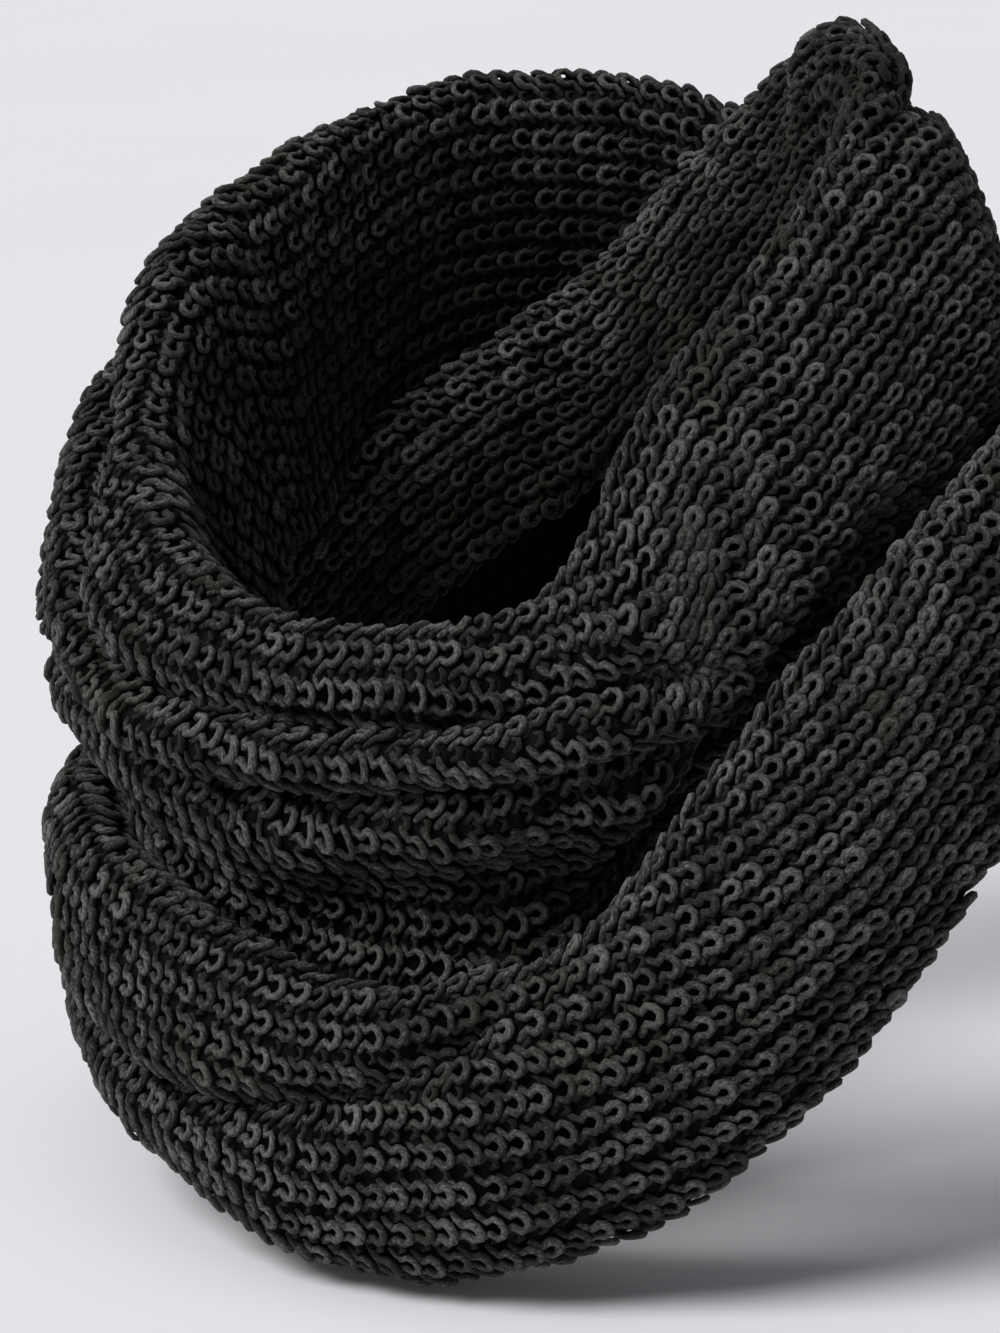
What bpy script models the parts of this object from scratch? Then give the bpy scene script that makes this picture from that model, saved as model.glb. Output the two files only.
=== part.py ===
"""Infinity scarf: one closed, chunky rib-knit band wound twice round the neck.

The band is a strip of ribs whose ends are joined. It goes round the neck in two
turns (720 degrees) and crosses itself once, at the back. Every section of the strip
lies in an upright half plane through the neck's axis and is an upside-down U: an
inner flap, a rolled rim on top, and an outer face that hangs from the rim to the
outer edge. The strip keeps its width all the way round, so cloth that leaves the
outer face slides over the rim into the inner flap.

Axes: the wearer faces -Y, +X is the wearer's left, +Z is up. The origin is on the
neck's axis, in the middle of the wound scarf. Tables are in millimetres and
degrees; a turn of 0 degrees is the front of the upper loop and 360 the front of
the lower one.
"""

import math
from collections import namedtuple

import bmesh
import bpy
import numpy as np

MM = 0.001

# ---- driving sizes, millimetres ---------------------------------------------------
RIB_PITCH = 7.8          # across one rib
RIB_COUNT = 24           # ribs across the strip
BAND_WIDTH = RIB_PITCH * RIB_COUNT
RIB_RISE = 1.9           # how far a rib stands over the groove beside it
WALL_INSIDE = 1.6        # middle of the cloth to the plain inside
WALL_OUTSIDE = 1.2       # middle of the cloth to the bottom of a groove
SEAM_GAP = 0.45          # between one stretch and the next
SEAM_RADIUS = 62.0       # nearest that a seam comes to the neck's axis
TURN_UP = 4.0            # radius of the bend where an inner flap turns up again

TURNS = 720.0            # degrees, two times round
NUDGE = 0.5              # degrees to either side of a section, to find its normals
DENSE_POINTS = 321       # points on a section before it is cut into ribs
SOFTEN = 2.2             # how far a section's corners are rounded

CLOTH_COLOUR = (0.022, 0.022, 0.024, 1.0)
CLOTH_ROUGHNESS = 0.92
CREASE_ANGLE = 20.0      # degrees, above which an edge between ribs is shown sharp

# ---- sections, a row for each -------------------------------------------------------
# turn; top of the rolled rim; radius of the roll; lean of the inner flap towards the
# neck, degrees; how far the flap hangs before it turns up; fullest point of the outer
# face; its foot; and how far the outer edge lies in and down from the foot
Section = namedtuple("Section", "turn rim_r rim_z roll lean drop belly_r belly_z"
                                " foot_r foot_z edge_in edge_down")
SECTIONS = [
    #       turn  rim        roll lean drop  belly      foot       edge
    Section(5,    84, -12,   8.5,  0,  74,   104, -42,  93, -92,   2, 15),
    Section(20,   81, -6,    8.5,  1,  74,   104, -34,  92, -80,   4, 20),
    Section(29,   78, 4,     8.5,  2,  70,   103, -24,  96, -62,   12, 26),
    Section(37,   76, 25,    8.0,  3,  66,   103, -10,  103, -40,  23, 40),
    Section(46,   74, 43,    8.0,  3,  64,   103, 3,    107, -25,  27, 40),
    Section(54,   74, 55,    8.0,  3,  60,   102, 16,   109, -13,  27, 36),
    Section(63,   74, 65,    8.0,  3,  58,   101, 29,   110, -3,   25, 30),
    Section(75,   75, 79,    8.0,  2,  54,   101, 46,   110, 12,   22, 24),
    Section(86,   77, 92,    8.0,  0,  52,   102, 60,   111, 26,   18, 18),
    Section(96,   79, 105,   8.0,  0,  50,   102, 77,   112, 36,   16, 16),
    Section(110,  79, 112,   8.5,  0,  50,   103, 78,   112, 36,   14, 18),
    Section(125,  75, 118,   8.5,  0,  50,   99, 83,    109, 38,   10, 14),
    Section(138,  73, 119,   8.5,  0,  50,   96, 83,    104, 38,   8, 10),
    Section(150,  76, 112,   8.0,  0,  50,   95, 76,    101, 32,   8, 8),
    Section(165,  78, 98,    8.0,  0,  50,   95, 60,    98, 16,    8, 8),
    Section(180,  78, 78,    8.0,  0,  50,   95, 40,    98, -4,    8, 8),
    Section(200,  80, 50,    8.0,  0,  50,   97, 12,    99, -32,   8, 8),
    Section(220,  86, 20,    8.0,  0,  50,   104, -18,  106, -62,  8, 8),
    Section(240,  98, -8,    8.0,  0,  50,   117, -46,  121, -88,  8, 8),
    Section(260,  111, -36,  8.0,  0,  50,   130, -74,  134, -112, 8, 8),
    Section(280,  118, -60,  8.0,  0,  48,   133, -94,  131, -128, 10, 8),
    Section(299,  119, -68,  8.0,  4,  50,   127, -98,  119, -132, 12, 4),
    Section(315,  119, -70,  8.0,  5,  50,   128, -99,  120, -134, 12, 4),
    Section(330,  119, -75,  8.0,  5,  50,   129, -108, 121, -139, 14, 4),
    Section(345,  118, -83,  8.0,  5,  50,   131, -119, 122, -147, 14, 4),
    Section(360,  117, -91,  8.0,  4,  50,   132, -128, 125, -155, 14, 4),
    Section(375,  117, -87,  8.0,  0,  48,   133, -124, 126, -153, 12, 6),
    Section(391,  117, -74,  8.0,  0,  55,   134, -114, 129, -143, 12, 6),
    Section(404,  119, -41,  8.0,  0,  60,   137, -86,  134, -126, 12, 8),
    Section(418,  123, -5,   8.0,  0,  60,   141, -52,  139, -98,  10, 8),
    Section(431,  126, 17,   8.0,  0,  60,   143, -24,  142, -62,  12, 8),
    Section(444,  127, 33,   8.0,  0,  56,   143, -8,   143, -46,  12, 8),
    Section(470,  128, 42,   8.0,  0,  52,   143, 2,    144, -40,  10, 8),
    Section(495,  126, 47,   8.0,  0,  52,   141, 8,    143, -34,  10, 8),
    Section(515,  121, 64,   8.0,  0,  50,   138, 24,   142, -20,  8, 8),
    Section(540,  117, 86,   8.0,  0,  60,   134, 46,   140, 2,    8, 8),
    Section(565,  115, 95,   8.0,  0,  76,   131, 56,   136, 12,   8, 8),
    Section(585,  112, 93,   8.0,  0,  80,   128, 54,   130, 12,   8, 8),
    Section(600,  108, 85,   8.0,  2,  84,   124, 44,   126, 6,    8, 4),
    Section(620,  104, 72,   8.0,  12, 90,   124, 30,   125, -4,   8, 6),
    Section(640,  105, 53,   8.5,  22, 86,   128, 6,    127, -29,  14, 12),
    Section(657,  104, 20,   8.5,  26, 78,   130, -14,  124, -50,  22, 20),
    Section(670,  102, 7,    8.5,  22, 80,   126, -26,  116, -54,  16, 22),
    Section(682,  99, -3,    8.5,  15, 82,   121, -33,  109, -62,  12, 26),
    Section(696,  94, -10,   8.5,  8,  78,   114, -39,  100, -76,  4, 22),
    Section(710,  89, -13,   8.5,  3,  74,   107, -42,  95, -88,   2, 18),
]

# ---- folds along the strip, a row for each --------------------------------------------
# first and last turn; height of the crease at even steps between them, which
# slides over the rim into the flap where it is higher than the rim; its depth and half
# width; and how much its lips lean together
Fold = namedtuple("Fold", "first last heights depth width pinch")
FOLDS = [
    #    first last  heights
    #                depth width pinch
    Fold(-104, 62,   (60, 46, 30, 8, -20, -29, -31, -32, -30, -25, -18, -17, -14),
                     9.5, 9.0, 2.5),
    Fold(-84, 70,    (-26, -34, -42, -50, -53, -49, -45, -38, -30, -18),
                     8.5, 9.0, 2.0),
    Fold(-104, -40,  (26, 8, -8, -24, -34),
                     3.0, 8.0, 0.5),
    Fold(-80, -16,   (-52, -58, -66, -77, -84),
                     3.5, 6.5, 1.5),
    Fold(-14, 34,    (-70, -72, -71, -64, -54),
                     2.5, 7.0, 1.0),
    Fold(82, 178,    (98, 106, 102, 86, 52),
                     5.0, 8.5, 1.5),
    Fold(150, 240,   (66, 52, 20, -12, -40),
                     5.0, 8.0, 2.0),
    Fold(214, 318,   (-26, -62, -88, -96, -96),
                     5.5, 8.5, 2.5),
    Fold(300, 394,   (-110, -119, -122, -107, -74),
                     5.5, 7.5, 3.0),
    Fold(440, 620,   (8, 16, 50, 68, 40),
                     6.5, 9.0, 3.0),
    Fold(466, 606,   (-18, -10, 14, 34, 22),
                     5.0, 8.0, 2.0),
]
FADE = 26.0              # degrees over which a fold starts and ends


def periodic(stations, values, turn):
    """Smooth curve through the values, which repeats after both turns."""
    turns = np.concatenate([stations[-2:] - TURNS, stations, stations[:3] + TURNS])
    heights = np.concatenate([values[-2:], values, values[:3]])
    gaps = np.diff(turns)
    rises = np.diff(heights) / gaps
    slopes = (gaps[1:] * rises[:-1] + gaps[:-1] * rises[1:]) / (gaps[1:] + gaps[:-1])
    slopes = np.concatenate([[rises[0]], slopes, [rises[-1]]])
    turn = np.mod(np.asarray(turn, float) - stations[0], TURNS) + stations[0]
    k = np.searchsorted(turns, turn, side="right") - 1
    span = turns[k + 1] - turns[k]
    u = (turn - turns[k]) / span
    start = (1 + 2 * u) * (1 - u) ** 2 * heights[k] + u * (1 - u) ** 2 * span * slopes[k]
    end = u * u * (3 - 2 * u) * heights[k + 1] + u * u * (u - 1) * span * slopes[k + 1]
    return start + end


def section_at(turn):
    """Section at any turn, between the rows of the table."""
    stations = np.array([row.turn for row in SECTIONS], float)
    columns = [
        float(periodic(stations, np.array([getattr(row, name) for row in SECTIONS], float), turn))
        for name in Section._fields[1:]
    ]
    return Section(turn, *columns)


def smooth_line(points, count):
    """Centripetal Catmull-Rom line through the points, cut into even steps."""
    points = np.asarray(points, float)
    points = np.vstack([2 * points[0] - points[1], points, 2 * points[-1] - points[-2]])
    knots = np.concatenate([[0], np.cumsum(np.sqrt(np.linalg.norm(np.diff(points, axis=0), axis=1)))])
    pieces = []
    for i in range(1, len(points) - 2):
        t = np.linspace(knots[i], knots[i + 1], 40, endpoint=False)[:, None]
        k0, k1, k2, k3 = knots[i - 1:i + 3]
        p0, p1, p2, p3 = points[i - 1:i + 3]
        a1 = (k1 - t) / (k1 - k0) * p0 + (t - k0) / (k1 - k0) * p1
        a2 = (k2 - t) / (k2 - k1) * p1 + (t - k1) / (k2 - k1) * p2
        a3 = (k3 - t) / (k3 - k2) * p2 + (t - k2) / (k3 - k2) * p3
        b1 = (k2 - t) / (k2 - k0) * a1 + (t - k0) / (k2 - k0) * a2
        b2 = (k3 - t) / (k3 - k1) * a2 + (t - k1) / (k3 - k1) * a3
        pieces.append((k2 - t) / (k2 - k1) * b1 + (t - k1) / (k2 - k1) * b2)
    line = np.vstack(pieces + [points[-2:-1]])
    return even_steps(line, count)


def even_steps(line, count):
    """The same line with points at even distances along it."""
    along = np.concatenate([[0], np.cumsum(np.linalg.norm(np.diff(line, axis=0), axis=1))])
    wanted = np.linspace(0, along[-1], count)
    return np.column_stack([np.interp(wanted, along, line[:, i]) for i in range(line.shape[1])])


def smooth_value(values, share):
    """Value at a share from 0 to 1 of a smooth curve through evenly spaced values."""
    place = min(1.0, max(0.0, share)) * (len(values) - 1)
    k = min(int(place), len(values) - 2)
    u = place - k
    before, after = values[max(k - 1, 0)], values[min(k + 2, len(values) - 1)]
    rise_in = (values[k + 1] - before) / 2
    rise_out = (after - values[k]) / 2
    return ((1 + 2 * u) * (1 - u) ** 2 * values[k] + u * (1 - u) ** 2 * rise_in
            + u * u * (3 - 2 * u) * values[k + 1] + u * u * (u - 1) * rise_out)


def fold_at(fold, turn):
    """How much of a fold there is at a turn, from 0 to 1, and its height there."""
    middle = (fold.first + fold.last) / 2
    turn = (turn - middle + TURNS / 2) % TURNS + middle - TURNS / 2
    half = (fold.last - fold.first) / 2
    inside = min(1.0, max(0.0, (half - abs(turn - middle)) / FADE))
    height = smooth_value(fold.heights, (turn - fold.first) / (fold.last - fold.first))
    return inside * inside * (3 - 2 * inside), height


def flap_line(s):
    """Inner flap from the rim's inner side down, and up again inside the roll."""
    lean = math.radians(s.lean)
    down = np.array([-math.sin(lean), -math.cos(lean)])
    out = np.array([math.cos(lean), -math.sin(lean)])
    top = np.array([s.rim_r - s.roll, s.rim_z - s.roll])
    turn_start = top + down * (s.drop - s.roll)
    centre = turn_start + out * TURN_UP
    bend = [centre - out * TURN_UP * math.cos(a) + down * TURN_UP * math.sin(a)
            for a in np.linspace(0, math.pi, 9)]
    turn_end = turn_start + out * 2 * TURN_UP
    return np.vstack([top, bend, turn_end - down * BAND_WIDTH])


def softened(line, reach):
    """The line with its corners rounded, its two ends kept."""
    spacing = np.linalg.norm(line[1] - line[0])
    half = max(1, int(reach / spacing))
    padded = np.vstack([2 * line[0] - line[half:0:-1], line, 2 * line[-1] - line[-2:-half - 2:-1]])
    weights = np.hanning(2 * half + 3)[1:-1]
    weights /= weights.sum()
    return np.column_stack([np.convolve(padded[:, i], weights, mode="valid") for i in (0, 1)])


def distances(line):
    """Distance of each point along the line."""
    return np.concatenate([[0], np.cumsum(np.linalg.norm(np.diff(line, axis=0), axis=1))])


def section_line(turn):
    """Middle line of the cloth at a turn, from the outer edge over the rim inwards."""
    s = section_at(turn)
    outer = smooth_line([
        (s.foot_r - s.edge_in, s.foot_z - s.edge_down),
        (s.foot_r, s.foot_z),
        (s.belly_r, s.belly_z),
        (s.rim_r + 0.9 * s.roll, s.rim_z - 0.6 * s.roll),
        (s.rim_r, s.rim_z),
        (s.rim_r - 0.85 * s.roll, s.rim_z - 0.5 * s.roll),
    ], DENSE_POINTS)
    line = even_steps(np.vstack([outer, flap_line(s)]), 4 * DENSE_POINTS)
    line = softened(line, 2 * SOFTEN)
    along = distances(line)
    top = int(np.argmax(np.where(along < distances(outer)[-1], line[:, 1], -1e6)))
    tangent = np.gradient(line, axis=0)
    tangent /= np.linalg.norm(tangent, axis=1)[:, None]
    inward = np.column_stack([-tangent[:, 1], tangent[:, 0]])
    moved = line.copy()
    for fold in FOLDS:
        strength, height = fold_at(fold, turn)
        if strength > 0:
            below = float(np.interp(height, line[:top + 1, 1], along[:top + 1]))
            place = below + max(0.0, height - line[top, 1])
            away = (along - place) / fold.width
            dip = np.exp(-away ** 2)
            moved += inward * (strength * fold.depth * dip)[:, None]
            moved -= tangent * (strength * fold.pinch * away * dip)[:, None]
    along = distances(moved)
    wanted = np.linspace(0, BAND_WIDTH, DENSE_POINTS)
    return np.column_stack([np.interp(wanted, along, moved[:, i]) for i in (0, 1)])


def to_space(line, turn):
    """Points of a section, turned about the neck's axis into place."""
    angle = math.radians(turn)
    return np.column_stack([line[:, 0] * math.sin(angle), -line[:, 0] * math.cos(angle), line[:, 1]])


def cloth_row(turn):
    """Points of the cloth's middle at a turn, and the outward normal at each."""
    before, row, after = (to_space(section_line(t), t) for t in (turn - NUDGE, turn, turn + NUDGE))
    normals = np.cross(after - before, np.gradient(row, axis=0))
    return row, normals / np.linalg.norm(normals, axis=1)[:, None]


def rib_rises(row, normal, places):
    """How high each point stands: crests rise, but less at the bottom of a tight fold."""
    spread = np.linalg.norm(np.diff(row, axis=0), axis=1).mean()
    bend = np.gradient(np.gradient(row, axis=0), axis=0) / spread ** 2
    hollow = np.clip((bend * normal).sum(axis=1), 1e-4, None)
    room = 0.75 / hollow - WALL_OUTSIDE
    own = np.linspace(0, 1, len(row))
    rises = np.minimum(RIB_RISE, np.interp(places, own, room))
    rises[::2] = 0.0
    return np.clip(rises, 0.0, None)


def row_at(row, places):
    """Points of a grid row at places from 0 to 1 across the strip."""
    own = np.linspace(0, 1, len(row))
    return np.column_stack([np.interp(places, own, row[:, i]) for i in range(3)])


def closed_rings(first, last, count):
    """Rings of a stretch: ribbed outside, then the plain inside, back to the start."""
    trim = math.degrees(SEAM_GAP / 2 / SEAM_RADIUS)
    places = np.linspace(0.0, 1.0, 2 * RIB_COUNT + 1)
    inside_places = np.linspace(1.0, 0.0, RIB_COUNT + 1)
    rings = []
    for turn in np.linspace(first + trim, last - trim, count + 1):
        row, normal = cloth_row(turn)
        lift = WALL_OUTSIDE + rib_rises(row, normal, places)
        outside = row_at(row, places) + row_at(normal, places) * lift[:, None]
        inside = row_at(row, inside_places) - row_at(normal, inside_places) * WALL_INSIDE
        rings.append(np.vstack([outside, inside]) * MM)
    return rings


def fill_end(bm, ring, flip):
    """Close the end of a stretch with a strip between its outside and its inside."""
    outside = ring[:2 * RIB_COUNT + 1]
    inside = ring[2 * RIB_COUNT + 1:][::-1]
    for i in range(RIB_COUNT):
        groove, crest, following = outside[2 * i:2 * i + 3]
        faces = [(groove, crest, inside[i]), (crest, inside[i + 1], inside[i]),
                 (crest, following, inside[i + 1])]
        for face in faces:
            bm.faces.new(face[::-1] if flip else face)


def make_stretch(name, first, last, count, material):
    """One stretch of the wound strip, a closed solid between two seams."""
    rings = closed_rings(first, last, count)
    bm = bmesh.new()
    verts = [[bm.verts.new(point) for point in ring] for ring in rings]
    size = len(verts[0])
    for ring, following in zip(verts, verts[1:]):
        for i in range(size):
            j = (i + 1) % size
            bm.faces.new((ring[i], following[i], following[j], ring[j]))
    fill_end(bm, verts[0], False)
    fill_end(bm, verts[-1], True)
    bmesh.ops.triangulate(bm, faces=bm.faces[:])
    bmesh.ops.recalc_face_normals(bm, faces=bm.faces[:])
    mesh = bpy.data.meshes.new(name)
    bm.to_mesh(mesh)
    bm.free()
    mesh.materials.append(material)
    mesh.shade_smooth()
    mesh.set_sharp_from_angle(angle=math.radians(CREASE_ANGLE))
    stretch = bpy.data.objects.new(name, mesh)
    bpy.context.scene.collection.objects.link(stretch)
    return stretch


def cloth_material(name):
    """Dull charcoal wool."""
    material = bpy.data.materials.new(name)
    material.use_nodes = True
    shader = material.node_tree.nodes["Principled BSDF"]
    shader.inputs["Base Color"].default_value = CLOTH_COLOUR
    shader.inputs["Roughness"].default_value = CLOTH_ROUGHNESS
    shader.inputs["Metallic"].default_value = 0.0
    return material


# ---- stretches, a row for each: node name, turns of its two seams, steps between them ---
STRETCHES = [
    ("front_upper", -90.0, 90.0, 37),
    ("back_inner", 90.0, 270.0, 26),
    ("front_lower", 270.0, 450.0, 28),
    ("back_outer", 450.0, 630.0, 26),
]


def main():
    """Clear the scene and build the four stretches."""
    for thing in list(bpy.data.objects):
        bpy.data.objects.remove(thing, do_unlink=True)
    for name, first, last, count in STRETCHES:
        make_stretch(name, first, last, count, cloth_material(name + "_knit"))


main()
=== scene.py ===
"""Looks of an infinity scarf: one closed band of chunky rib knit, wound twice round a neck.

Every stretch of the band gets a thin backing cloth on the form of its solid, and the
knit itself as real yarn: for each stitch a loop, laid in a chain along its rib, and a bar
that crosses the groove beside it.
Sizes in the tables are millimetres and degrees; meshes are made in metres.
"""

import logging
import math
from dataclasses import dataclass, field
from enum import Enum
from typing import ClassVar, NamedTuple

import bpy
import numpy as np
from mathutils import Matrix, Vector


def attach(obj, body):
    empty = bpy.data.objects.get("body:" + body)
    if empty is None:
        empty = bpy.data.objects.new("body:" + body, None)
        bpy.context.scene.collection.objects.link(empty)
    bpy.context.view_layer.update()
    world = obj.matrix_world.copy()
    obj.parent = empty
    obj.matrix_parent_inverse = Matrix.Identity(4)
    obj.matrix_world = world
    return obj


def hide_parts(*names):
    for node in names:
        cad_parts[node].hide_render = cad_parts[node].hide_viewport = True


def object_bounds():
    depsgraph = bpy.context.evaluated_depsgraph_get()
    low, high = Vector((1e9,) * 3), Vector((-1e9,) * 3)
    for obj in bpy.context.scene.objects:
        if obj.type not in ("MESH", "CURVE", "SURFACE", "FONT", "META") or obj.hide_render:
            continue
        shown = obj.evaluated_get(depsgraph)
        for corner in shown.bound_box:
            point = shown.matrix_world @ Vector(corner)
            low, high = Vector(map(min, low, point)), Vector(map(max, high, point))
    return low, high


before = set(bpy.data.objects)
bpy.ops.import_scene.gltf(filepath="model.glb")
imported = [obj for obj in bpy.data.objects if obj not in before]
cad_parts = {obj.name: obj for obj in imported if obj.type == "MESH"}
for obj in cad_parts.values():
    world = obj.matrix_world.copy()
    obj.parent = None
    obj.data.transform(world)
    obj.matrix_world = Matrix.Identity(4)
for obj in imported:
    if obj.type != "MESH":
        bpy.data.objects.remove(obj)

LOG = logging.getLogger("scarf")
MM = 0.001
CAD_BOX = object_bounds()
TINY = 1e-6
Colour = tuple[float, float, float]
Socket = bpy.types.NodeSocket
BLACK: Colour = (0.0, 0.0, 0.0)
WHITE: Colour = (1.0, 1.0, 1.0)


class Slot(Enum):
    """Material slots of the record."""

    KNIT = "charcoal_knit"


class Side(Enum):
    """The two halves of the band's width, each a yarn piece of its own."""

    FACE = "face"
    FLAP = "flap"


class Section(NamedTuple):
    """One upright section of the band, close to that of the solids: radii and heights of its
    rim, belly and foot, the size of its roll, the lean and drop of its inner flap, and how far
    the outer edge lies in and down from the foot."""

    turn: float
    rim_r: float
    rim_z: float
    roll: float
    lean: float
    drop: float
    belly_r: float
    belly_z: float
    foot_r: float
    foot_z: float
    edge_in: float
    edge_down: float


class Fold(NamedTuple):
    """One fold along the band: where it runs, how high, how deep and how wide. A negative depth
    makes a ridge."""

    first: float
    last: float
    heights: tuple[float, ...]
    depth: float
    width: float
    pinch: float


SECTIONS: tuple[Section, ...] = (
    #       turn  rim        roll lean drop  belly      foot       edge
    Section(5,    84, -12,   8.5,  0,  74,   104, -42,  93, -92,   2, 15),
    Section(20,   81, -6,    8.5,  1,  74,   104, -34,  92, -80,   4, 26),
    Section(29,   78, 4,     8.5,  2,  70,   103, -24,  96, -62,   12, 35),
    Section(37,   76, 25,    8.0,  3,  66,   103, -10,  103, -40,  23, 45),
    Section(46,   74, 43,    8.0,  3,  64,   103, 3,    107, -25,  27, 40),
    Section(54,   74, 55,    8.0,  3,  60,   102, 16,   109, -13,  27, 36),
    Section(63,   74, 65,    8.0,  3,  58,   101, 29,   110, -3,   25, 32),
    Section(75,   75, 79,    8.0,  2,  54,   101, 46,   110, 12,   22, 29),
    Section(86,   77, 92,    8.0,  0,  52,   102, 60,   111, 26,   18, 25),
    Section(96,   79, 105,   8.0,  0,  50,   102, 77,   112, 36,   16, 24),
    Section(110,  79, 112,   8.5,  0,  50,   103, 78,   112, 36,   14, 23),
    Section(125,  75, 118,   8.5,  0,  50,   99, 83,    109, 38,   10, 17),
    Section(138,  73, 119,   8.5,  0,  50,   96, 83,    104, 38,   8, 10),
    Section(150,  76, 112,   8.0,  0,  50,   95, 76,    101, 32,   8, 8),
    Section(165,  78, 98,    8.0,  0,  50,   95, 60,    98, 16,    8, 8),
    Section(180,  78, 78,    8.0,  0,  50,   95, 40,    98, -4,    8, 8),
    Section(200,  80, 50,    8.0,  0,  50,   97, 12,    99, -32,   8, 8),
    Section(220,  86, 27,    8.0,  0,  50,   104, -16,  106, -62,  8, 8),
    Section(240,  98, 1,     8.0,  0,  50,   117, -42,  121, -88,  8, 8),
    Section(260,  111, -30,  8.0,  0,  50,   130, -72,  134, -112, 8, 8),
    Section(280,  118, -60,  8.0,  0,  48,   133, -94,  131, -128, 10, 8),
    Section(299,  119, -68,  8.0,  4,  50,   127, -98,  119, -132, 12, 4),
    Section(315,  119, -70,  8.0,  5,  50,   128, -99,  120, -134, 12, 4),
    Section(330,  119, -75,  8.0,  5,  50,   129, -108, 121, -139, 14, 4),
    Section(345,  118, -83,  8.0,  5,  50,   131, -119, 122, -147, 14, 4),
    Section(360,  117, -91,  8.0,  4,  50,   132, -128, 125, -155, 14, 4),
    Section(375,  117, -87,  8.0,  0,  48,   133, -124, 126, -153, 12, 6),
    Section(391,  117, -74,  8.0,  0,  55,   134, -114, 129, -143, 12, 6),
    Section(404,  119, -41,  8.0,  0,  60,   137, -86,  134, -126, 12, 8),
    Section(418,  123, -5,   8.0,  0,  60,   141, -52,  139, -98,  10, 8),
    Section(431,  126, 17,   8.0,  0,  60,   143, -24,  142, -62,  12, 8),
    Section(444,  127, 33,   8.0,  0,  56,   143, -8,   143, -46,  12, 8),
    Section(470,  128, 42,   8.0,  0,  52,   143, 2,    144, -40,  10, 8),
    Section(495,  126, 47,   8.0,  0,  52,   141, 8,    143, -34,  10, 8),
    Section(515,  121, 64,   8.0,  0,  50,   138, 24,   142, -20,  8, 8),
    Section(540,  117, 86,   8.0,  0,  60,   134, 46,   140, 2,    8, 8),
    Section(565,  115, 95,   8.0,  0,  76,   131, 56,   136, 12,   8, 8),
    Section(585,  112, 93,   8.0,  0,  80,   128, 54,   130, 12,   8, 8),
    Section(600,  108, 85,   8.0,  2,  84,   124, 44,   126, 6,    8, 4),
    Section(620,  104, 72,   8.0,  12, 90,   124, 30,   125, -4,   8, 6),
    Section(640,  105, 53,   8.5,  22, 86,   128, 6,    127, -29,  14, 12),
    Section(657,  104, 20,   8.5,  26, 78,   130, -14,  124, -50,  22, 20),
    Section(670,  102, 7,    8.5,  22, 80,   126, -26,  116, -54,  16, 22),
    Section(682,  99, -3,    8.5,  15, 82,   121, -33,  109, -62,  12, 26),
    Section(696,  94, -10,   8.5,  8,  78,   114, -39,  100, -76,  4, 22),
    Section(710,  89, -13,   8.5,  3,  74,   107, -42,  95, -88,   2, 18),
)

FOLDS: tuple[Fold, ...] = (
    #    first last  heights
    #                depth width pinch
    Fold(-104, 62,   (60, 46, 30, 8, -20, -29, -31, -32, -30, -25, -18, -17, -14),
                     13.0, 5.4, 2.0),
    Fold(-84, 70,    (-26, -34, -42, -50, -53, -49, -45, -38, -30, -18),
                     13.0, 5.8, 2.0),
    Fold(-60, 60,    (-40, -41, -40, -38, -35, -28, -20),
                     -3.5, 8.5, 0.0),
    Fold(-104, -40,  (26, 8, -8, -24, -34),
                     4.0, 6.5, 1.0),
    Fold(-80, -16,   (-52, -58, -66, -77, -84),
                     5.5, 5.5, 1.5),
    Fold(-34, 92,    (-84, -83, -80, -74, -64, -38, -6, 16),
                     8.0, 15.0, 0.0),
    Fold(-26, 52,    (-82, -80, -76, -70, -52),
                     5.0, 13.0, 0.0),
    Fold(18, 86,     (-92, -82, -66, -44, -18, 3, 15, 25),
                     15.0, 9.5, 0.0),
    Fold(-95, -15,   (-45, -62, -72, -80, -88),
                     -4.0, 13.0, 0.0),
    Fold(82, 178,    (98, 106, 102, 86, 52),
                     7.0, 7.0, 1.5),
    Fold(150, 240,   (66, 52, 20, -12, -40),
                     6.5, 7.0, 2.0),
    Fold(214, 318,   (-26, -62, -88, -96, -96),
                     7.0, 7.5, 2.5),
    Fold(300, 394,   (-110, -119, -122, -107, -74),
                     9.5, 5.4, 2.0),
    Fold(440, 620,   (8, 16, 50, 68, 40),
                     8.0, 7.5, 2.5),
    Fold(466, 606,   (-18, -10, 14, 34, 22),
                     6.5, 7.0, 2.0),
)


def distances(line: np.ndarray) -> np.ndarray:
    """Distance of each point of a line from its start, measured along the line."""
    return np.concatenate([[0], np.cumsum(np.linalg.norm(np.diff(line, axis=0), axis=1))])


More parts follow.
